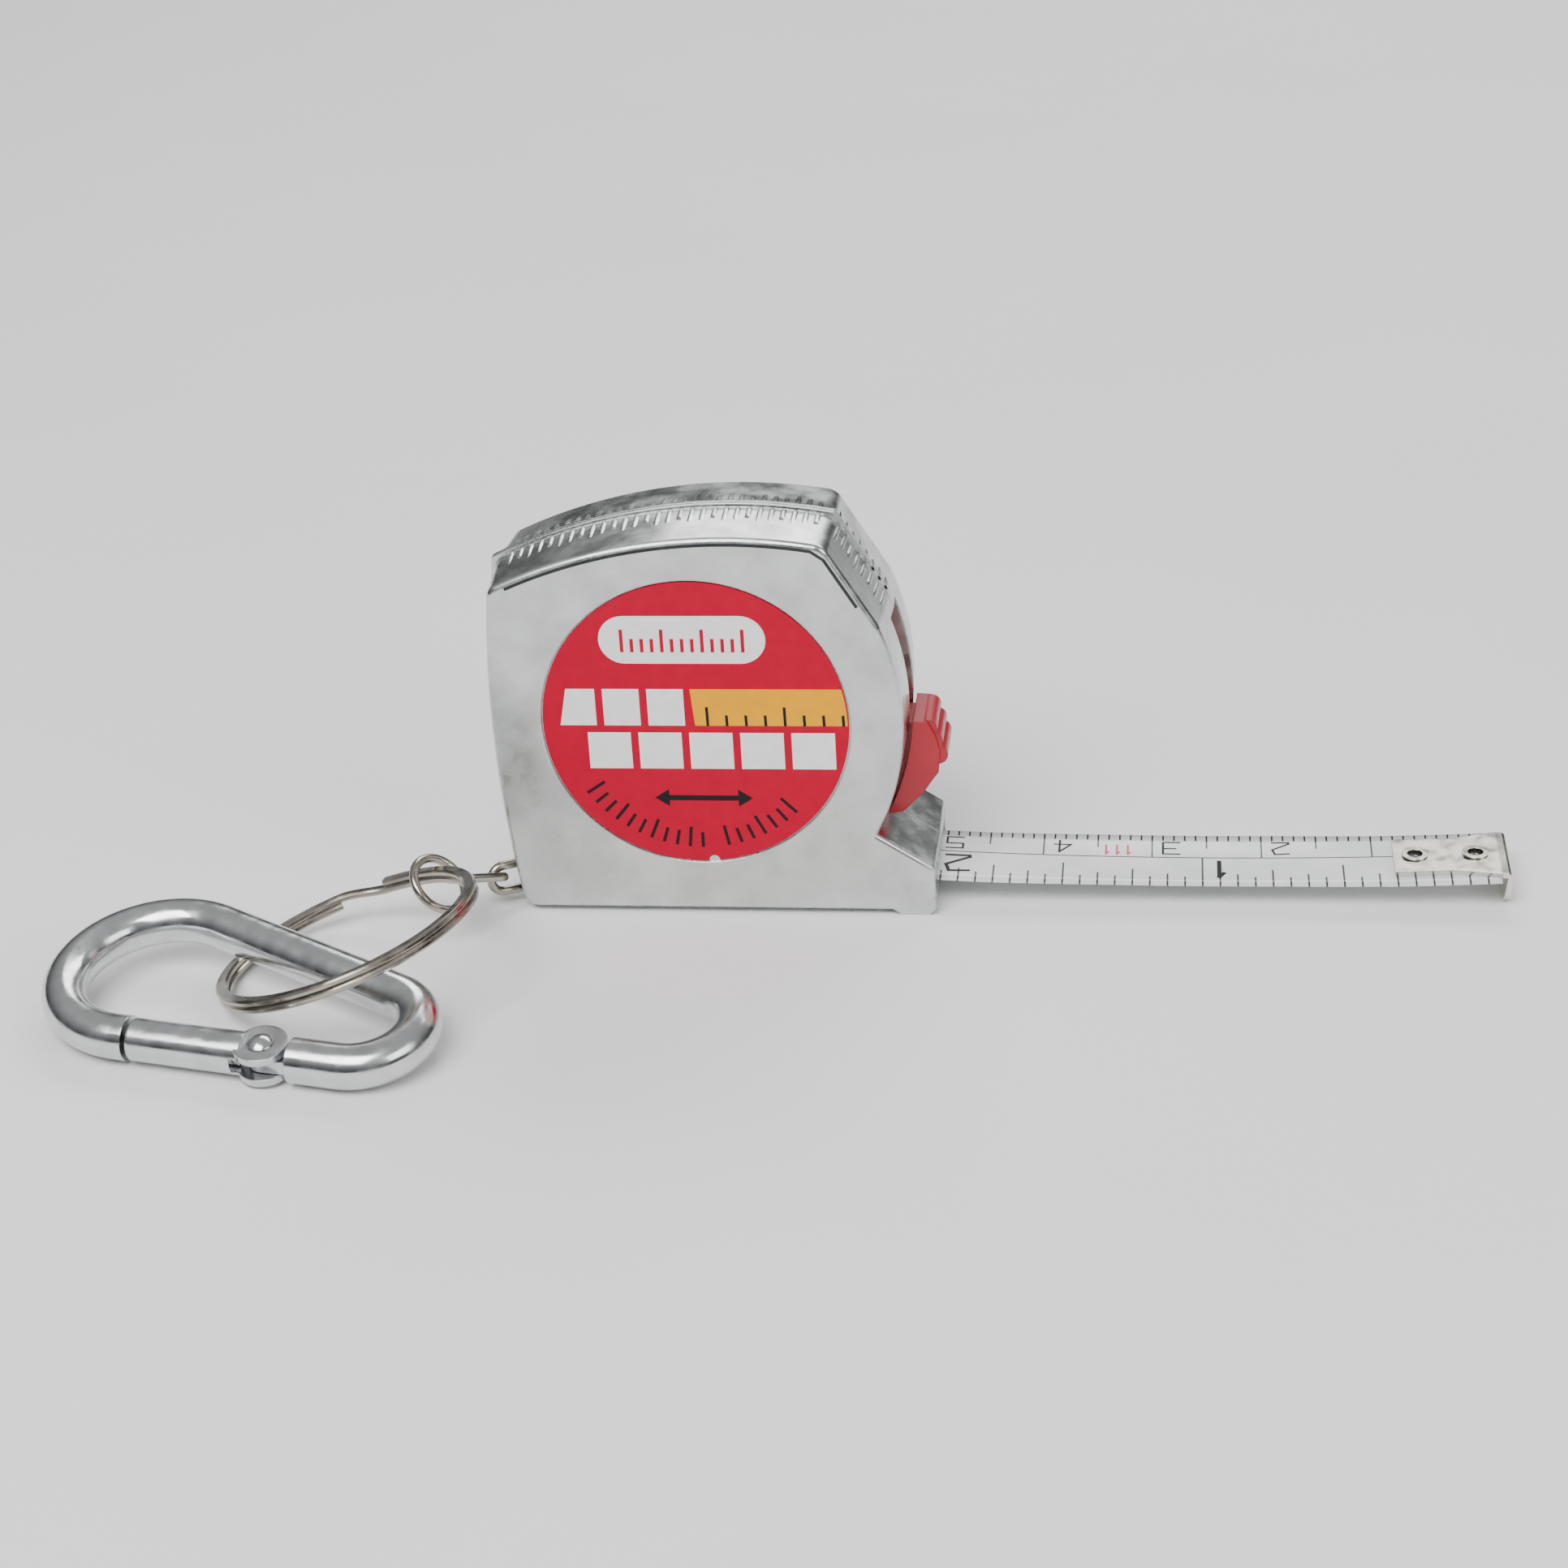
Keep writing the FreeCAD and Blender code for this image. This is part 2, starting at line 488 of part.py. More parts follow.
def split_ring():
    """Two turns of flat wire, one on the other, with one step where the wire climbs between them."""
    r0, r1 = RING_R - RING_RADIAL / 2.0, RING_R + RING_RADIAL / 2.0
    thick = RING_TURN - 0.03
    start, sweep_angle = 128.0, 338.0

    def wire_section(low):
        high, ease = low + thick, RING_EDGE
        corners = [V(r0 + ease, 0, low), V(r1 - ease, 0, low), V(r1, 0, low + ease), V(r1, 0, high - ease),
                   V(r1 - ease, 0, high), V(r0 + ease, 0, high), V(r0, 0, high - ease), V(r0, 0, low + ease)]
        return Part.makePolygon(corners + corners[:1])

    def turn(low, span):
        return Part.Face(wire_section(low)).revolve(V(0, 0, 0), V(0, 0, 1), span)

    lower, upper = turn(-RING_TURN, sweep_angle), turn(0.015, sweep_angle)
    sections = []
    for i in range(9):
        part = i / 8.0
        low = -RING_TURN + (RING_TURN + 0.015) * part * part * (3.0 - 2.0 * part)
        section = wire_section(low)
        section.rotate(V(0, 0, 0), V(0, 0, 1), sweep_angle + (360.0 - sweep_angle) * part)
        sections.append(section)
    step = Part.makeLoft(sections, True, False)
    ring = lower.fuse([upper, step])
    ring.rotate(V(0, 0, 0), V(0, 0, 1), start)
    tilt, azimuth = math.radians(RING_TILT), math.radians(RING_AZIMUTH)
    upslope = V(-math.cos(tilt) * math.cos(azimuth), -math.cos(tilt) * math.sin(azimuth), math.sin(tilt))
    normal = V(math.sin(tilt) * math.cos(azimuth), math.sin(tilt) * math.sin(azimuth), math.cos(tilt))
    return placed(ring, RING_C, upslope, normal.cross(upslope))


# ---------------------------------------------------------------- snap hook
def snap_placed(shape):
    heading, tilt = math.radians(SNAP_HEADING), math.radians(SNAP_TILT)
    along = V(math.cos(heading), math.sin(heading), 0)
    across = V(-math.sin(heading) * math.cos(tilt), math.cos(heading) * math.cos(tilt), math.sin(tilt))
    return placed(shape, SNAP_O, along, across)


def snap_tangents():
    """Angle of the common normals of the big and small loops: at the spine and at the gate side."""
    du, dv = SNAP_SMALL[0] - SNAP_BIG[0], SNAP_SMALL[1] - SNAP_BIG[1]
    lean, spread = math.atan2(dv, du), math.acos((SNAP_BIG_R - SNAP_SMALL_R) / math.hypot(du, dv))
    return math.degrees(lean + spread), math.degrees(lean - spread)


def on_loop(centre, radius, degrees):
    u, v = polar(centre, radius, degrees)
    return V(u, v, 0)


def gate_line_v(u):
    """Height of the gate's centre line, a straight line tangent to both loops."""
    low = snap_tangents()[1]
    a, b = on_loop(SNAP_BIG, SNAP_BIG_R, low), on_loop(SNAP_SMALL, SNAP_SMALL_R, low)
    return a.y + (b.y - a.y) * (u - a.x) / (b.x - a.x)


def carabiner_body():
    high, low = snap_tangents()
    big = [on_loop(SNAP_BIG, SNAP_BIG_R, a) for a in (low, (low + high) / 2.0 + 180.0, high)]
    small = [on_loop(SNAP_SMALL, SNAP_SMALL_R, a) for a in (high, (low + high) / 2.0, low)]
    nose = V(0, gate_line_v(0.0), 0)
    end = V(WIRE_END_U, gate_line_v(WIRE_END_U), 0)
    edges = [Part.makeLine(nose, big[0]), Part.Arc(*big).toShape(), Part.makeLine(big[2], small[0]),
             Part.Arc(*small).toShape(), Part.makeLine(small[2], end)]
    wire = sweep(Part.Wire(edges), SNAP_WIRE_R)
    pivot_v = gate_line_v(GATE_PIVOT_U)
    tongue = Part.makeCylinder(TONGUE_R, 2 * TONGUE_HALF, V(GATE_PIVOT_U, pivot_v, -TONGUE_HALF))
    root_u = WIRE_END_U + 0.8
    bar = Part.makeBox(root_u - GATE_PIVOT_U, 2 * TONGUE_R, 2 * TONGUE_HALF,
                       V(GATE_PIVOT_U, pivot_v - TONGUE_R, -TONGUE_HALF))
    bore = Part.makeCylinder(RIVET_R, 6.0, V(GATE_PIVOT_U, pivot_v, -3.0))
    return snap_placed(wire.fuse([tongue, bar]).cut(bore))


def gate_axis():
    """Start, direction and length of the gate's straight centre line, from its nose end to the pivot."""
    start = V(GATE_NOSE_U, gate_line_v(GATE_NOSE_U), 0)
    pivot = V(GATE_PIVOT_U, gate_line_v(GATE_PIVOT_U), 0)
    return start, unit(pivot - start), (pivot - start).Length


def carabiner_gate():
    start, direction, length = gate_axis()
    pivot = start + direction * length
    bar = Part.makeCylinder(GATE_R, length, start, direction)
    bar = bar.makeFillet(0.3, [bar.Edges[i] for i in range(3) if bar.Edges[i].CenterOfMass.x < 1.0 and
                               bar.Edges[i].Closed])
    ears = Part.makeCylinder(GATE_EAR_R, 2 * GATE_EAR_HALF, pivot - V(0, 0, GATE_EAR_HALF))
    flats = Part.makeBox(4.0, 10.0, 4.0, V(GATE_PIVOT_U - 1.6, pivot.y - 5.0, GATE_EAR_HALF))
    gate = bar.cut([flats, flats.mirror(V(0, 0, 0), V(0, 0, 1))]).fuse(ears)
    fork = Part.makeBox(8.0, 12.0, 2 * FORK_HALF, V(GATE_FORK_U, pivot.y - 6.0, -FORK_HALF))
    bore = Part.makeCylinder(GATE_BORE_R, GATE_FORK_U - 2.5, start + direction * 2.8, direction)
    hole = Part.makeCylinder(RIVET_R + 0.03, 8.0, V(pivot.x, pivot.y, -4.0))
    return snap_placed(gate.cut([fork, bore, hole]))


def gate_rivet():
    v = gate_line_v(GATE_PIVOT_U)
    seat = GATE_EAR_HALF + 0.03
    shank = Part.makeCylinder(RIVET_R, 2 * seat, V(GATE_PIVOT_U, v, -seat))
    dome_r = (RIVET_HEAD_R ** 2 + RIVET_HEAD_THICK ** 2) / (2 * RIVET_HEAD_THICK)
    dome = Part.makeSphere(dome_r, V(GATE_PIVOT_U, v, seat + RIVET_HEAD_THICK - dome_r))
    head = dome.common(Part.makeCylinder(RIVET_HEAD_R + 1, 3.0, V(GATE_PIVOT_U, v, seat)))
    return snap_placed(shank.fuse([head, head.mirror(V(0, 0, 0), V(0, 0, 1))]))


def gate_plunger():
    start, direction, length = gate_axis()
    stem = Part.makeCylinder(0.5, 2.2, start + direction * 6.6, direction)
    head = Part.makeCylinder(GATE_BORE_R - 0.06, 1.7, start + direction * 8.8, direction)
    return snap_placed(stem.fuse(head))


def gate_spring():
    """The return spring's turns, each as a closed ring."""
    start, direction, length = gate_axis()
    wire_r, coil_r, pitch, turns = 0.13, 0.85, 0.85, 7
    rings = []
    for i in range(turns):
        ring = Part.makeTorus(coil_r, wire_r, start + direction * (3.1 + pitch * i), direction)
        rings.append(snap_placed(ring))
    return Part.makeCompound(rings)


MAKERS = [front_shell, rear_shell, front_label, case_screw, spring_arbor, anchor_pin, lock_slider, drum,
          drum_cover, power_spring, tape_coil, tape_blade, end_hook, hook_eyelets, chain_link_1,
          chain_link_2, jump_ring, split_ring, carabiner_body, carabiner_gate, gate_rivet, gate_plunger,
          gate_spring]

os.makedirs("parts", exist_ok=True)
for maker in MAKERS:
    part_shape = maker()
    part_shape.exportStep("parts/" + maker.__name__ + ".step")
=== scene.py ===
"""Looks of the key-ring tape measure.

Materials, label art, printed blade, knurling, floor, light and camera.
"""
import json
import math

import bpy
from mathutils import Matrix, Vector

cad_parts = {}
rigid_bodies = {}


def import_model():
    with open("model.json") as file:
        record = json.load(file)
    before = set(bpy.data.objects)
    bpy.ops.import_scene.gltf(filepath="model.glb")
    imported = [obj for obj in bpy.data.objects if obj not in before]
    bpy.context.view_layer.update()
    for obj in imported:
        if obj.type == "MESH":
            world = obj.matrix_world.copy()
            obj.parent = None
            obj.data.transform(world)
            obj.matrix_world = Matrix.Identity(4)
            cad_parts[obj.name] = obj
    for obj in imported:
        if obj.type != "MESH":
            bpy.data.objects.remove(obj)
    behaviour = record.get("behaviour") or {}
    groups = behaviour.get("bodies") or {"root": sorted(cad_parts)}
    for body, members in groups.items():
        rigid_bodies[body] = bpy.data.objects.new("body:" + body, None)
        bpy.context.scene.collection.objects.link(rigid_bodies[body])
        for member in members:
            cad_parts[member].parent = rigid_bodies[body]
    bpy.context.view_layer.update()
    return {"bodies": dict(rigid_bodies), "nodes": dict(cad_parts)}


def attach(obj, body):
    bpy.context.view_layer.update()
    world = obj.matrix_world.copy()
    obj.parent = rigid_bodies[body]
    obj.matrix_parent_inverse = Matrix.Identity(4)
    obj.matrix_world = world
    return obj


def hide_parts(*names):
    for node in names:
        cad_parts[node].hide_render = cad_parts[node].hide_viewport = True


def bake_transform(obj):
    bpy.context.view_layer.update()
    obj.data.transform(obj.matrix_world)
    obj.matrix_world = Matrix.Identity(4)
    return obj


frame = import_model()
NODES = frame["nodes"]
MM = 0.001

# ---- sizes shared with the CAD, in millimetres ----
HALF_WIDTH = 6.85
CROWN = 0.4
ROOF_CENTRE, ROOF_RADIUS = (2.2, -11.6), 48.1
REAR_CENTRE, REAR_RADIUS = (94.5, 18.6), 114.15
CHAMFER_LOW, CHAMFER_HIGH = (15.4, 28.5), (11.04, 35.68)
# height below which the painted shade band along the face edge stops
RIM_SHADE_END_Z = 29.5
LABEL_CENTRE, LABEL_RADIUS, LABEL_FACE_Y = (-1.1, 18.64), 13.8, -6.8
FLOOR_Z = -0.6
MOUTH_X = 20.2
BLADE_Z_MOUTH, BLADE_SLOPE, BLADE_CURL, BLADE_INNER_SLOPE = 1.88, -0.0457, 0.00099, -0.1347
BLADE_IN_X, BLADE_END_X, BLADE_HALF, BLADE_THICK = -2.4, 70.6, 4.75, 0.12
ZERO_X = 69.4
EYELET_X = (63.15, 68.55)
DIVIDER_Y = 0.75
INCH = 25.4

# ---- looks only, in millimetres ----
PRINT_LIFT = 0.012  # thickness of a printed layer
PRINT_BASE, OVERPRINT_BASE = 0.002, 0.014  # first layer on the label, and a layer on top of it
STRIP_SKIN = 0.004  # how far the printed strip stays inside the blade's thickness
CUP_RISE = 0.16
CUP_START, CUP_START_LENGTH = 24.0, 12.0
CUP_END, CUP_END_LENGTH = 61.0, 10.0
# inset range and lift of the painted shade band along the broad faces' rounded edge
RIM_SHADE_INSETS = (0.42, 0.72)
RIM_SHADE_PROUD = 0.004
INCH_TICKS = ((16, 1.75), (8, 2.35), (4, 3.2), (2, 4.1), (1, BLADE_HALF + DIVIDER_Y))
METRIC_TICKS = ((1.0, 0.95), (5.0, 2.3), (10.0, BLADE_HALF - DIVIDER_Y))
INCH_TICK_WIDTH, METRIC_TICK_WIDTH, DIVIDER_WIDTH = 0.17, 0.16, 0.09


# ---------------------------------------------------------------- materials
class Shader:
    """A principled material with the node chains that every finish here shares."""

    def __init__(self, name, colour, rough=0.4, metallic=0.0, coat=0.0):
        self.material = bpy.data.materials.new(name)
        self.material.use_nodes = True
        self.tree = self.material.node_tree
        self.shader = self.tree.nodes["Principled BSDF"]
        self.shader.inputs["Base Color"].default_value = (*colour, 1.0)
        self.shader.inputs["Roughness"].default_value = rough
        self.shader.inputs["Metallic"].default_value = metallic
        self.shader.inputs["Coat Weight"].default_value = coat
        self.colour = colour
        self.rough = rough

    def node(self, kind, **values):
        node = self.tree.nodes.new(kind)
        for key, value in values.items():
            if key in node.inputs:
                node.inputs[key].default_value = value
            else:
                setattr(node, key, value)
        return node

    def link(self, source, target):
        self.tree.links.new(source, target)

    def noise(self, size_mm, detail=3.0):
        place = self.node("ShaderNodeTexCoord")
        texture = self.node("ShaderNodeTexNoise", Scale=1.0 / (size_mm * MM), Detail=detail)
        self.link(place.outputs["Object"], texture.inputs["Vector"])
        return texture.outputs["Fac"]

    def ramp(self, value, low, high):
        ramp = self.node("ShaderNodeValToRGB")
        ramp.color_ramp.elements[0].position = 0.35
        ramp.color_ramp.elements[1].position = 0.65
        ramp.color_ramp.elements[0].color = (*low, 1.0)
        ramp.color_ramp.elements[1].color = (*high, 1.0)
        self.link(value, ramp.inputs["Fac"])
        return ramp.outputs["Color"]

    def mottle(self, size_mm, depth):
        """Colour varies by depth over patches of the given size."""
        low = [c * (1.0 - depth) for c in self.colour]
        high = [min(1.0, c * (1.0 + depth)) for c in self.colour]
        self.link(self.ramp(self.noise(size_mm), low, high), self.shader.inputs["Base Color"])

    def roughness_patches(self, size_mm, spread):
        low, high = [max(0.02, self.rough - spread)] * 3, [self.rough + spread] * 3
        self.link(self.ramp(self.noise(size_mm, 4.0), low, high), self.shader.inputs["Roughness"])

    def relief(self, size_mm, height_mm, soften_mm=0.0):
        bump = self.node("ShaderNodeBump", Strength=1.0, Distance=height_mm * MM)
        self.link(self.noise(size_mm, 4.0), bump.inputs["Height"])
        if soften_mm:
            bevel = self.node("ShaderNodeBevel", Radius=soften_mm * MM, samples=4)
            self.link(bevel.outputs["Normal"], bump.inputs["Normal"])
        self.link(bump.outputs["Normal"], self.shader.inputs["Normal"])


def frosted_chrome():
    look = Shader("frosted_chrome", (0.60, 0.63, 0.61), 0.27, 1.0)
    look.mottle(4.0, 0.09)
    look.roughness_patches(2.5, 0.09)
    look.relief(1.6, 0.009, soften_mm=0.25)
    return look.material


def metal(name, colour, rough, soften=0.12, mottle=0.07, scratch=0.004):
    look = Shader(name, colour, rough, 1.0)
    look.mottle(2.2, mottle)
    look.roughness_patches(1.4, rough * 0.35)
    look.relief(0.6, scratch, soften_mm=soften)
    return look.material


def plastic(name, colour, rough, coat=0.0):
    look = Shader(name, colour, rough, 0.0, coat)
    look.mottle(4.0, 0.06)
    look.roughness_patches(1.8, 0.05)
    look.relief(0.35, 0.004, soften_mm=0.25)
    return look.material


def print_ink(name, colour):
    look = Shader(name, colour, 0.32)
    look.shader.inputs["Specular IOR Level"].default_value = 0.1
    look.mottle(1.2, 0.03)
    look.roughness_patches(0.9, 0.04)
    look.relief(0.2, 0.001)
    return look.material


def printed_blade():
    """Pale enamel: inch scale on the near edge, millimetres on the far edge, a line between."""
    look = Shader("printed_blade", (0.80, 0.82, 0.81), 0.3, 0.0, 0.25)
    look.relief(1.2, 0.003)
    place = look.node("ShaderNodeTexCoord")
    place.object = frame["bodies"]["blade"]
    split = look.node("ShaderNodeSeparateXYZ")
    look.link(place.outputs["Object"], split.inputs["Vector"])

    def maths(operation, first, second):
        node = look.node("ShaderNodeMath", operation=operation)
        for socket, value in zip(node.inputs, (first, second)):
            if isinstance(value, (int, float)):
                socket.default_value = value
            else:
                look.link(value, socket)
        return node.outputs[0]

    x_mm = maths("MULTIPLY", split.outputs["X"], 1.0 / MM)
    y_mm = maths("MULTIPLY", split.outputs["Y"], 1.0 / MM)
    along = maths("SUBTRACT", ZERO_X, x_mm)
    ink = None

    def add(mask):
        nonlocal ink
        ink = mask if ink is None else maths("MAXIMUM", ink, mask)

    def ticks(pitch, length, width, from_edge):
        half = maths("ADD", along, pitch * 0.5)
        centred = maths("SUBTRACT", maths("FLOORED_MODULO", half, pitch), pitch * 0.5)
        offset = maths("ABSOLUTE", centred, 0.0)
        on_line = maths("LESS_THAN", offset, width * 0.5)
        add(maths("MULTIPLY", on_line, maths("LESS_THAN", from_edge, length)))

    near = maths("ADD", y_mm, BLADE_HALF)
    far = maths("SUBTRACT", BLADE_HALF, y_mm)
    for parts, length in INCH_TICKS:
        ticks(INCH / parts, length, INCH_TICK_WIDTH, near)
    for pitch, length in METRIC_TICKS:
        ticks(pitch, length, METRIC_TICK_WIDTH, far)
    divider = maths("ABSOLUTE", maths("SUBTRACT", y_mm, DIVIDER_Y), 0.0)
    add(maths("LESS_THAN", divider, DIVIDER_WIDTH))
    grey = look.ramp(look.noise(3.0), (0.74, 0.765, 0.765), (0.83, 0.845, 0.84))
    mix = look.node("ShaderNodeMix", data_type="RGBA")
    look.link(ink, mix.inputs["Factor"])
    look.link(grey, mix.inputs[6])
    mix.inputs[7].default_value = (0.025, 0.025, 0.03, 1.0)
    look.link(mix.outputs[2], look.shader.inputs["Base Color"])
    return look.material


CHROME = frosted_chrome()
NICKEL = metal("warm_nickel", (0.40, 0.365, 0.32), 0.2)
HOOK_NICKEL = metal("hook_nickel", (0.80, 0.77, 0.69), 0.2, soften=0.1, mottle=0.03, scratch=0.0015)
ZINC = metal("bright_zinc", (0.66, 0.67, 0.68), 0.2, soften=0.15)
DARK_STEEL = metal("spring_steel", (0.32, 0.34, 0.38), 0.3)
SCREW_STEEL = metal("screw_steel", (0.5, 0.5, 0.5), 0.32)
RED = plastic("red_plastic", (0.45, 0.002, 0.018), 0.34, coat=0.15)
GREY = plastic("grey_nylon", (0.20, 0.21, 0.23), 0.5)
WHITE = plastic("white_nylon", (0.78, 0.78, 0.74), 0.5)
LABEL_RED = print_ink("label_red", (0.52, 0.0, 0.03))
LABEL_WHITE = print_ink("label_white", (0.92, 0.92, 0.92))
LABEL_YELLOW = print_ink("label_yellow", (0.93, 0.40, 0.0))
INK_BLACK = print_ink("ink_black", (0.015, 0.015, 0.018))
INK_RED = print_ink("ink_red", (0.70, 0.10, 0.12))
# painted shade: dark metal for the shaded bores of the hook's hollow rivets
BORE_SHADE_PAINT = metal("painted_bore_shade", (0.16, 0.15, 0.14), 0.35)
# painted shade: near-black metal for the dark reflection along the rounded edge of the broad faces
RIM_SHADE_PAINT = metal("painted_rim_shade", (0.05, 0.05, 0.055), 0.35)
BLADE_PRINT = printed_blade()

FINISH = {
    "front_shell": CHROME, "rear_shell": CHROME, "front_label": LABEL_RED, "case_screw": SCREW_STEEL,
    "spring_arbor": WHITE, "anchor_pin": NICKEL, "lock_slider": RED, "drum": GREY, "drum_cover": GREY,
    "power_spring": DARK_STEEL, "tape_coil": BLADE_PRINT, "tape_blade": BLADE_PRINT, "end_hook": HOOK_NICKEL,
    "hook_eyelets": HOOK_NICKEL, "chain_link_1": NICKEL, "chain_link_2": NICKEL, "jump_ring": NICKEL,
    "split_ring": NICKEL, "carabiner_body": ZINC, "carabiner_gate": ZINC, "gate_rivet": ZINC,
    "gate_plunger": SCREW_STEEL, "gate_spring": DARK_STEEL,
}
for node_name, finish in FINISH.items():
    data = NODES[node_name].data
    data.materials.clear()
    data.materials.append(finish)


# ---------------------------------------------------------------- mesh helpers
def make_piece(name, verts, faces, material, body, smooth=False):
    """A mesh from points in millimetres, riding a CAD body."""
    mesh = bpy.data.meshes.new(name)
    mesh.from_pydata([Vector(v) * MM for v in verts], [], faces)
    mesh.validate()
    mesh.update()
    mesh.materials.append(material)
    for polygon in mesh.polygons:
        polygon.use_smooth = smooth
    piece = bpy.data.objects.new(name, mesh)
    bpy.context.scene.collection.objects.link(piece)
    if body:
        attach(piece, body)
    return piece


def extruded(outlines, base, place):
    """Points and faces of flat shapes with a little thickness. place turns (a, b, height) into a point."""
    verts, faces = [], []
    for outline in outlines:
        first, count = len(verts), len(outline)
        verts += [place(a, b, base) for a, b in outline]
        verts += [place(a, b, base + PRINT_LIFT) for a, b in outline]
        faces.append(tuple(range(first + count, first + 2 * count)))
        faces.append(tuple(reversed(range(first, first + count))))
        for i in range(count):
            j = (i + 1) % count
            faces.append((first + i, first + j, first + count + j, first + count + i))
    return verts, faces


def on_label(a, b, height):
    return (a, LABEL_FACE_Y - height, b)


def label_piece(name, outlines, material, base):
    verts, faces = extruded(outlines, base, on_label)
    make_piece(name, verts, faces, material, "case")


def arc_points(centre, radius, start, stop, count):
    angles = [math.radians(start + (stop - start) * i / (count - 1)) for i in range(count)]
    return [(centre[0] + radius * math.cos(a), centre[1] + radius * math.sin(a)) for a in angles]


def pill(x0, x1, z0, z1):
    radius, middle = (z1 - z0) / 2.0, (z0 + z1) / 2.0
    right_end = arc_points((x1 - radius, middle), radius, -90, 90, 18)
    return right_end + arc_points((x0 + radius, middle), radius, 90, 270, 18)


def stroke(points, width):
    """Quads along a polyline, one closed outline for each run."""
    quads = []
    for (ax, ay), (bx, by) in zip(points, points[1:]):
        dx, dy = bx - ax, by - ay
        length = math.hypot(dx, dy)
        ux, uy = dx / length * width / 2.0, dy / length * width / 2.0
        quads.append([(ax - ux + uy, ay - uy - ux), (bx + ux + uy, by + uy - ux),
                      (bx + ux - uy, by + uy + ux), (ax - ux - uy, ay - uy + ux)])
    return quads


# ---------------------------------------------------------------- label art, all generic
def label_edge_x(z):
    return LABEL_CENTRE[0] + math.sqrt((LABEL_RADIUS - 0.12) ** 2 - (z - LABEL_CENTRE[1]) ** 2)


def build_label():
    label_piece("label_pill", [pill(-9.25, 5.65, 24.6, 29.2)], LABEL_WHITE, PRINT_BASE)
    rule_low = 25.7
    teeth = []
    for i in range(13):
        x = -7.2 + i * 0.9
        tall = 2.2 if i % 4 == 0 else 1.3
        left, right, top = x - 0.16, x + 0.16, rule_low + tall
        teeth.append([(left, rule_low), (right, rule_low), (right, top), (left, top)])
    label_piece("label_pill_scale", teeth, LABEL_RED, OVERPRINT_BASE)

    low, high = 18.5, 22.1
    edge_z = [low + (high - low) * i / 8.0 for i in range(9)]
    edge = [(label_edge_x(z), z) for z in edge_z]
    label_piece("label_yellow_rule", [[(-1.1, low)] + edge + [(-1.4, high)]], LABEL_YELLOW, PRINT_BASE)
    marks = []
    for i in range(8):
        x = 0.05 + i * 1.74
        tall = 1.85 if i % 4 == 0 else 1.05
        marks.append([(x - 0.13, low), (x + 0.13, low), (x + 0.10, low + tall), (x - 0.16, low + tall)])
    label_piece("label_rule_marks", marks, INK_BLACK, OVERPRINT_BASE)

    bars = []
    for i in range(3):
        x = -13.3 + i * 4.0
        bars.append([(x, low), (x + 3.3, low), (x + 3.3, high), (x, high)])
    bars[0][3] = (-13.3 + 0.7, high)
    label_piece("label_blocks_upper", bars, LABEL_WHITE, PRINT_BASE)
    lower = []
    for i in range(5):
        x = -10.9 + i * 4.6
        lower.append([(x, 14.2), (x + 3.9, 14.2), (x + 3.9, 17.8), (x, 17.8)])
    label_piece("label_blocks_lower", lower, LABEL_WHITE, PRINT_BASE)

    arrow = [[(-5.2, 11.25), (-3.9, 12.1), (-3.9, 10.4)], [(3.7, 11.25), (2.4, 10.4), (2.4, 12.1)],
             [(-3.9, 11.0), (2.4, 11.0), (2.4, 11.5), (-3.9, 11.5)]]
    label_piece("label_span_arrow", arrow, INK_BLACK, PRINT_BASE)
    scale = []
    for i in range(19):
        angle = 214.0 + i * 5.6
        if abs(angle - 274.0) < 4.0:
            continue
        inner, outer = (10.9, 12.4) if i % 3 else (10.4, 12.4)
        turn = math.radians(angle)
        dx, dz = math.cos(turn), math.sin(turn)
        side_x, side_z = -math.sin(turn) * 0.14, math.cos(turn) * 0.14
        (ax, az), (bx, bz) = [(LABEL_CENTRE[0] + dx * r, LABEL_CENTRE[1] + dz * r) for r in (inner, outer)]
        scale.append([(ax - side_x, az - side_z), (bx - side_x, bz - side_z),
                      (bx + side_x, bz + side_z), (ax + side_x, az + side_z)])
    label_piece("label_dial_marks", scale, INK_BLACK, PRINT_BASE)


# ---------------------------------------------------------------- knurling beside the seam
def rim_path():
    """Points and outward directions along the case's rim, from the chamfer over the roof to the rear."""
    path = []

    def along_line(start, stop, count):
        dx, dz = stop[0] - start[0], stop[1] - start[1]
        length = math.hypot(dx, dz)
        for i in range(count):
            t = i / count
            path.append(((start[0] + dx * t, start[1] + dz * t), (dz / length, -dx / length)))

    along_line(CHAMFER_LOW, CHAMFER_HIGH, 8)
    roof_start, roof_stop = 80.6, 114.2
    roof_count = 29
    for i in range(roof_count):
        a = math.radians(roof_start + (roof_stop - roof_start) * i / (roof_count - 1))
        direction = (math.cos(a), math.sin(a))
        point = (ROOF_CENTRE[0] + ROOF_RADIUS * direction[0], ROOF_CENTRE[1] + ROOF_RADIUS * direction[1])
        path.append((point, direction))
    for i in range(24):
        z = 29.2 - i
        a = math.pi - math.asin((z - REAR_CENTRE[1]) / REAR_RADIUS)
        direction = (math.cos(a), math.sin(a))
        path.append(((REAR_CENTRE[0] + REAR_RADIUS * direction[0], z), direction))
    return path


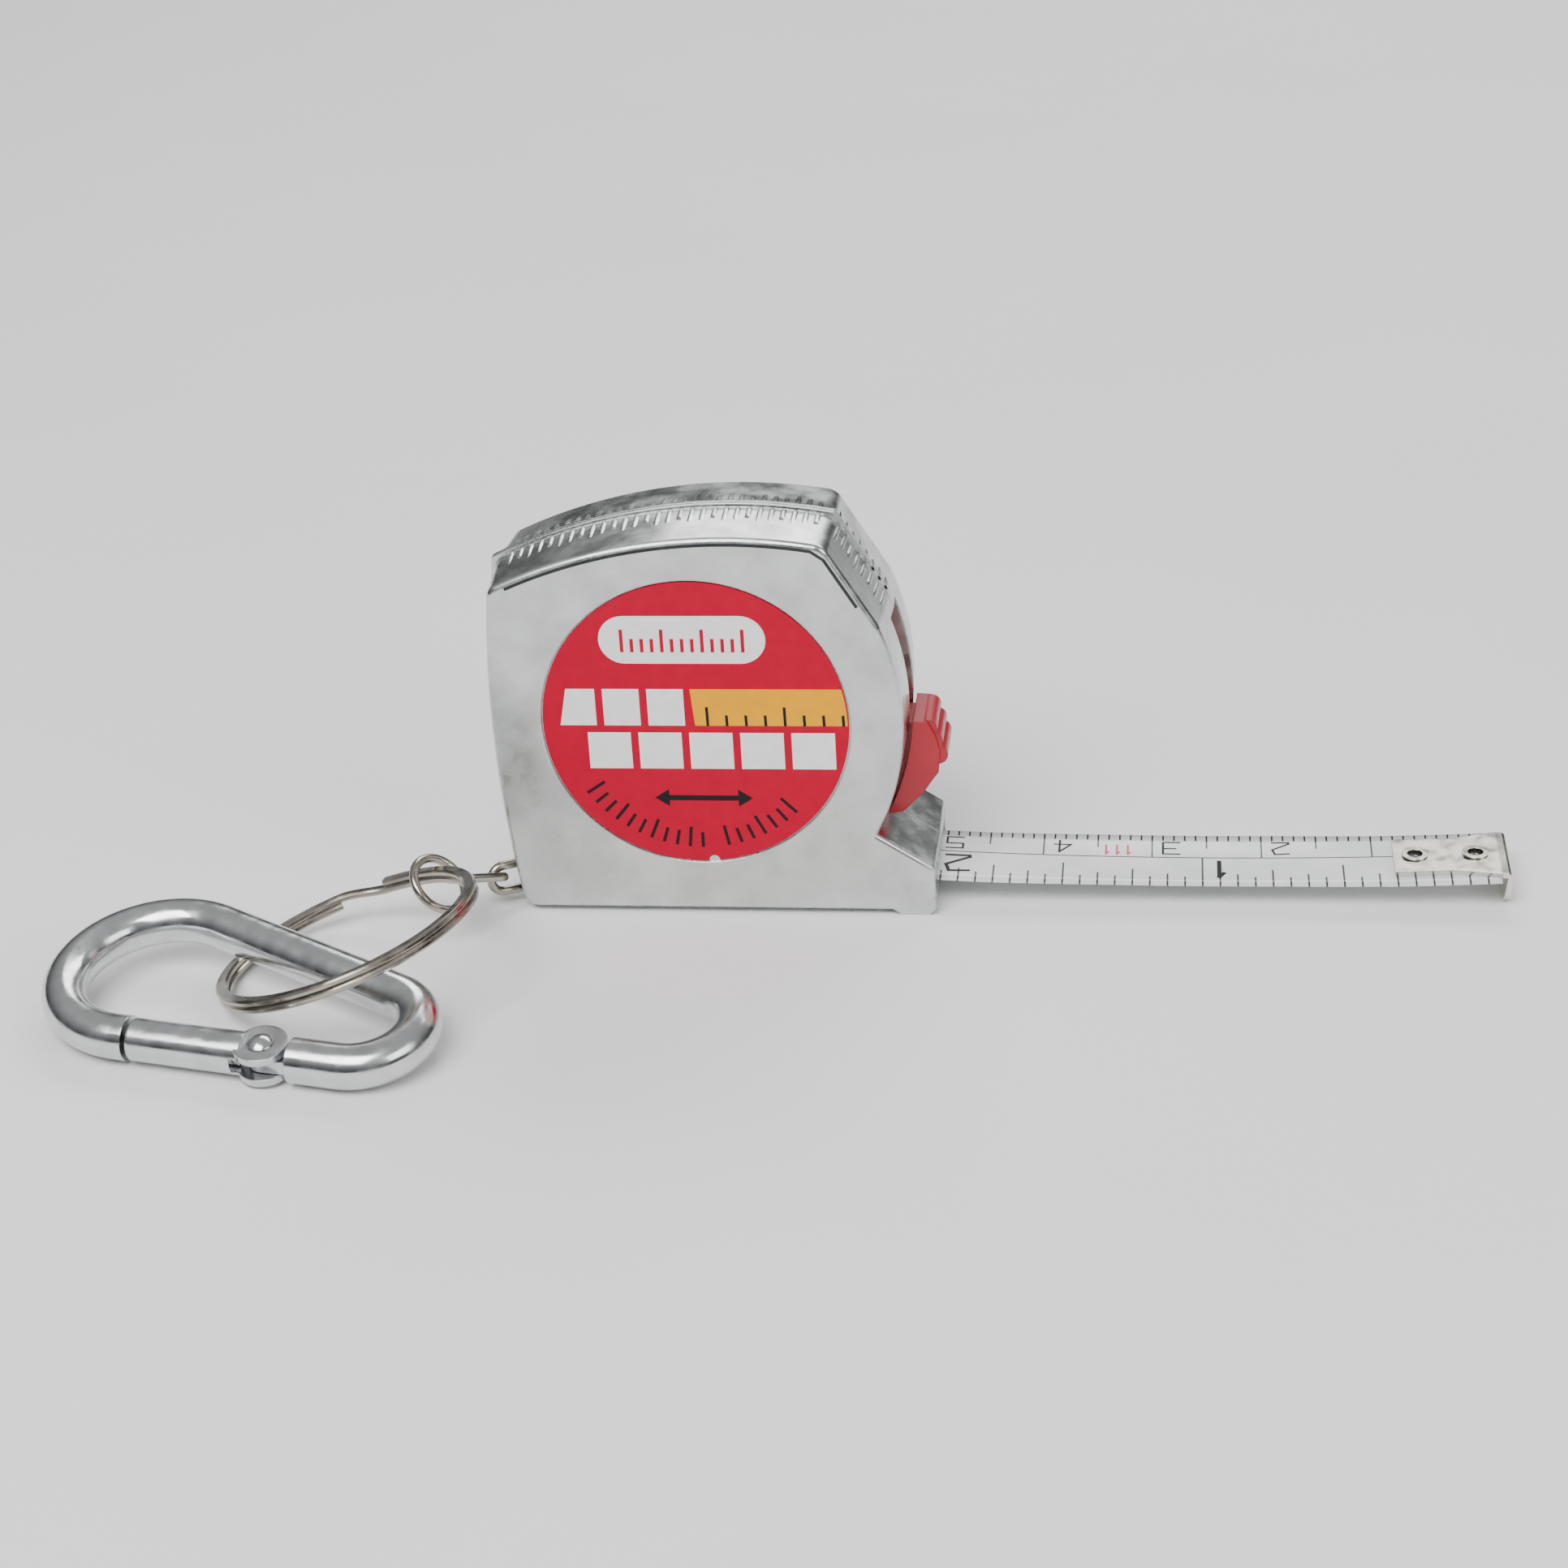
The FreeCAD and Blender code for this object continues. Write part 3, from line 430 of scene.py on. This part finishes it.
def build_knurl(side):
    """Short cross ridges beside the seam bead, each a low rounded bar that fades at its outer end."""
    verts, faces = [], []
    for index, ((x, z), (nx, nz)) in enumerate(rim_path()):
        tx, tz = -nz, nx
        reach = 2.9 + 0.35 * math.sin(index * 2.1)
        stations = [(0.62, 0.9), (1.1, 1.0), (1.9, 0.9), (2.5, 0.6), (reach, 0.0)]
        first = len(verts)
        for y, fade in stations:
            surface = CROWN * (1.0 - y / HALF_WIDTH)
            crest, shoulder = 0.15 * fade, 0.1 * fade
            profile = ((-0.32, -0.06), (-0.16, shoulder), (0.0, crest), (0.16, shoulder), (0.32, -0.06))
            for across, height in profile:
                h = surface + height
                verts.append((x + nx * h + tx * across, side * y, z + nz * h + tz * across))
        for i in range(len(stations) - 1):
            for j in range(4):
                a = first + i * 5 + j
                quad = (a, a + 1, a + 6, a + 5)
                faces.append(quad if side < 0 else tuple(reversed(quad)))
    name = "knurl_near" if side < 0 else "knurl_far"
    make_piece(name, verts, faces, CHROME, "case", smooth=True)


# ---------------------------------------------------------------- blade
def blade_z(x):
    s = x - MOUTH_X
    if s <= 0.0:
        return BLADE_Z_MOUTH + BLADE_INNER_SLOPE * s
    return BLADE_Z_MOUTH + BLADE_SLOPE * s + BLADE_CURL * s * s


def blade_cup(x):
    """How far the strip's edges turn up at x."""
    rising = max(0.0, min(1.0, (x - CUP_START) / CUP_START_LENGTH))
    falling = max(0.0, min(1.0, (CUP_END - x) / CUP_END_LENGTH))
    return CUP_RISE * rising * falling


def build_blade():
    """The printed strip, with its edges turned up a little between the mouth and the hook."""
    rows, columns = 150, 9
    verts, faces = [], []
    for i in range(rows):
        x = BLADE_IN_X + (BLADE_END_X - BLADE_IN_X) * i / (rows - 1)
        low, cup = blade_z(x) + STRIP_SKIN, blade_cup(x)
        for layer in (0.0, 1.0):
            for j in range(columns):
                part = 2.0 * j / (columns - 1) - 1.0
                height = cup * part * part + layer * (BLADE_THICK - 2.0 * STRIP_SKIN)
                verts.append((x, part * BLADE_HALF, low + height))
    row = 2 * columns
    for i in range(rows - 1):
        a, b = i * row, (i + 1) * row
        for j in range(columns - 1):
            faces.append((a + j, a + j + 1, b + j + 1, b + j))
            faces.append((a + columns + j, b + columns + j, b + columns + j + 1, a + columns + j + 1))
        faces.append((a, b, b + columns, a + columns))
        faces.append((a + columns - 1, a + row - 1, b + row - 1, b + columns - 1))
    faces.append(tuple(range(columns)) + tuple(reversed(range(columns, row))))
    last = (rows - 1) * row
    faces.append(tuple(reversed(range(last, last + columns))) + tuple(range(last + columns, last + row)))
    blade = make_piece("printed_strip", verts, faces, BLADE_PRINT, None, smooth=True)
    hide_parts("tape_blade")
    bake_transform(blade)


GLYPHS = {
    "1": [[(0.3, 0.75), (0.55, 1), (0.55, 0)]],
    "2": [[(0, 0.95), (0.85, 1), (1, 0.6), (0, 0.1), (0, 0), (1, 0)]],
    "3": [[(0, 1), (1, 1), (1, 0.53), (0.25, 0.53)], [(1, 0.53), (1, 0), (0, 0)]],
    "4": [[(0.7, 0), (0.7, 1), (0, 0.33), (1, 0.33)]],
    "5": [[(1, 1), (0, 1), (0, 0.57), (1, 0.57), (1, 0), (0, 0)]],
}


def build_numeral(name, digit, x, y, width, height, line, material):
    """A printed numeral, read from the blade's far side."""
    outlines = []
    for run in GLYPHS[digit]:
        points = [(x + (0.5 - u) * width, y + (0.5 - v) * height) for u, v in run]
        outlines += stroke(points, line)
    cup = blade_cup(x)

    def on_blade(a, b, h):
        return (a, b, blade_z(a) + BLADE_THICK + cup * (b / BLADE_HALF) ** 2 + h)

    verts, faces = extruded(outlines, 0.0, on_blade)
    piece = make_piece(name, verts, faces, material, None)
    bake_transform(piece)


def build_numerals():
    for digit in "2345":
        x = ZERO_X - 10.0 * int(digit) + 1.75
        build_numeral("numeral_cm_" + digit, digit, x, 2.45, 1.5, 2.1, 0.2, INK_BLACK)
    build_numeral("numeral_inch_2", "2", ZERO_X - 2.0 * INCH + 3.0, -1.5, 2.1, 3.0, 0.34, INK_BLACK)
    build_numeral("numeral_inch_1", "1", ZERO_X - INCH + 1.6, -1.5, 1.6, 3.0, 0.4, INK_BLACK)
    for index, x in enumerate((35.2, 36.2, 37.2)):
        build_numeral(f"red_mark_{index}", "1", x, 2.0, 0.8, 1.6, 0.18, INK_RED)


def build_bore_shade_cups():
    """Painted shade in each hollow rivet's bore: a dark dished floor and its wall, standing for the shade
    inside the hole.
    """
    rings = ((0.66, 0.74), (0.64, 0.3), (0.5, 0.2), (0.25, 0.16))
    count = 24
    for index, x in enumerate(EYELET_X):
        verts, faces = [], []
        for radius, height in rings:
            for i in range(count):
                a = 2.0 * math.pi * i / count
                verts.append((x + radius * math.cos(a), radius * math.sin(a), blade_z(x) + height))
        for ring in range(len(rings) - 1):
            for i in range(count):
                j = (i + 1) % count
                low, high = ring * count, (ring + 1) * count
                faces.append((low + i, low + j, high + j, high + i))
        faces.append(tuple(range((len(rings) - 1) * count, len(rings) * count)))
        make_piece(f"eyelet_bore_shade_{index}", verts, faces, BORE_SHADE_PAINT, "blade", smooth=True)


def build_rim_shade_bands(side):
    """A thin dark band just inside the edge of a broad face, over the roof and upper chamfer: painted shade
    standing for the dark reflection of the case's rounded edge.
    """
    verts, faces = [], []
    path = [(point, direction) for point, direction in rim_path() if point[1] > RIM_SHADE_END_Z]
    for (x, z), (nx, nz) in path:
        for inset in RIM_SHADE_INSETS:
            verts.append((x - nx * inset, side * (HALF_WIDTH + RIM_SHADE_PROUD), z - nz * inset))
    for i in range(len(path) - 1):
        a = 2 * i
        faces.append((a, a + 1, a + 3, a + 2) if side > 0 else (a, a + 2, a + 3, a + 1))
    name = "rim_shade_near" if side < 0 else "rim_shade_far"
    make_piece(name, verts, faces, RIM_SHADE_PAINT, "case")


build_label()
# dark cups of painted shade in the rivet bores
build_bore_shade_cups()
# painted shade bands along the edge of both broad faces
build_rim_shade_bands(-1.0)
build_rim_shade_bands(1.0)
build_knurl(-1.0)
build_knurl(1.0)
build_blade()
build_numerals()


# ---------------------------------------------------------------- floor, light, camera
def stage_plane(name, corners, colour, rough):
    look = Shader(name, colour, rough)
    look.mottle(60.0, 0.01)
    piece = make_piece(name, corners, [(0, 1, 2, 3)], look.material, None)


def area_light(name, place, target, size, power):
    light = bpy.data.lights.new(name, "AREA")
    light.shape = "RECTANGLE"
    light.size, light.size_y = size
    light.energy = power
    lamp = bpy.data.objects.new(name, light)
    bpy.context.scene.collection.objects.link(lamp)
    lamp.location = place
    lamp.rotation_euler = (Vector(target) - Vector(place)).to_track_quat("-Z", "Y").to_euler()


FLOOR_REACH = 2000
floor_corners = [(x * FLOOR_REACH, y * FLOOR_REACH, FLOOR_Z) for x, y in ((-1, -1), (1, -1), (1, 1), (-1, 1))]
stage_plane("floor", floor_corners, (0.93, 0.93, 0.93), 0.8)
world = bpy.data.worlds.new("studio")
world.use_nodes = True
sky = world.node_tree
sky_ramp = sky.nodes.new("ShaderNodeValToRGB")
sky_place, sky_split = sky.nodes.new("ShaderNodeTexCoord"), sky.nodes.new("ShaderNodeSeparateXYZ")
sky.links.new(sky_place.outputs["Generated"], sky_split.inputs["Vector"])
sky.links.new(sky_split.outputs["Z"], sky_ramp.inputs["Fac"])
sky.links.new(sky_ramp.outputs["Color"], sky.nodes["Background"].inputs["Color"])
sky_ramp.color_ramp.elements[0].color = (0.03, 0.035, 0.04, 1.0)
sky_ramp.color_ramp.elements[0].position = 0.05
sky_ramp.color_ramp.elements[1].color = (1.0, 1.0, 1.0, 1.0)
sky_ramp.color_ramp.elements[1].position = 0.75
sky.nodes["Background"].inputs["Strength"].default_value = 0.45
bpy.context.scene.world = world
area_light("key", (-0.15, -0.35, 0.55), (0.0, 0.0, 0.01), (0.5, 0.35), 4.4)
area_light("fill", (0.5, -0.3, 0.35), (0.0, 0.0, 0.01), (0.4, 0.3), 1.2)
area_light("back", (0.1, 0.5, 0.45), (0.0, 0.0, 0.02), (0.6, 0.25), 2.2)

camera_data = bpy.data.cameras.new("camera")
camera_data.sensor_width = 36.0
camera_data.lens = 71.84
camera_data.clip_start = 0.01
camera = bpy.data.objects.new("camera", camera_data)
bpy.context.scene.collection.objects.link(camera)
forward = Vector((-0.1214, 0.8831, -0.4532)).normalized()
right = Vector((0.9926, 0.1110, -0.0496))
right = (right - forward * right.dot(forward)).normalized()
up = right.cross(forward)
turn = Matrix((right, up, -forward)).transposed().to_4x4()
camera.matrix_world = Matrix.Translation((0.0407, -0.2549, 0.14003)) @ turn
bpy.context.scene.camera = camera
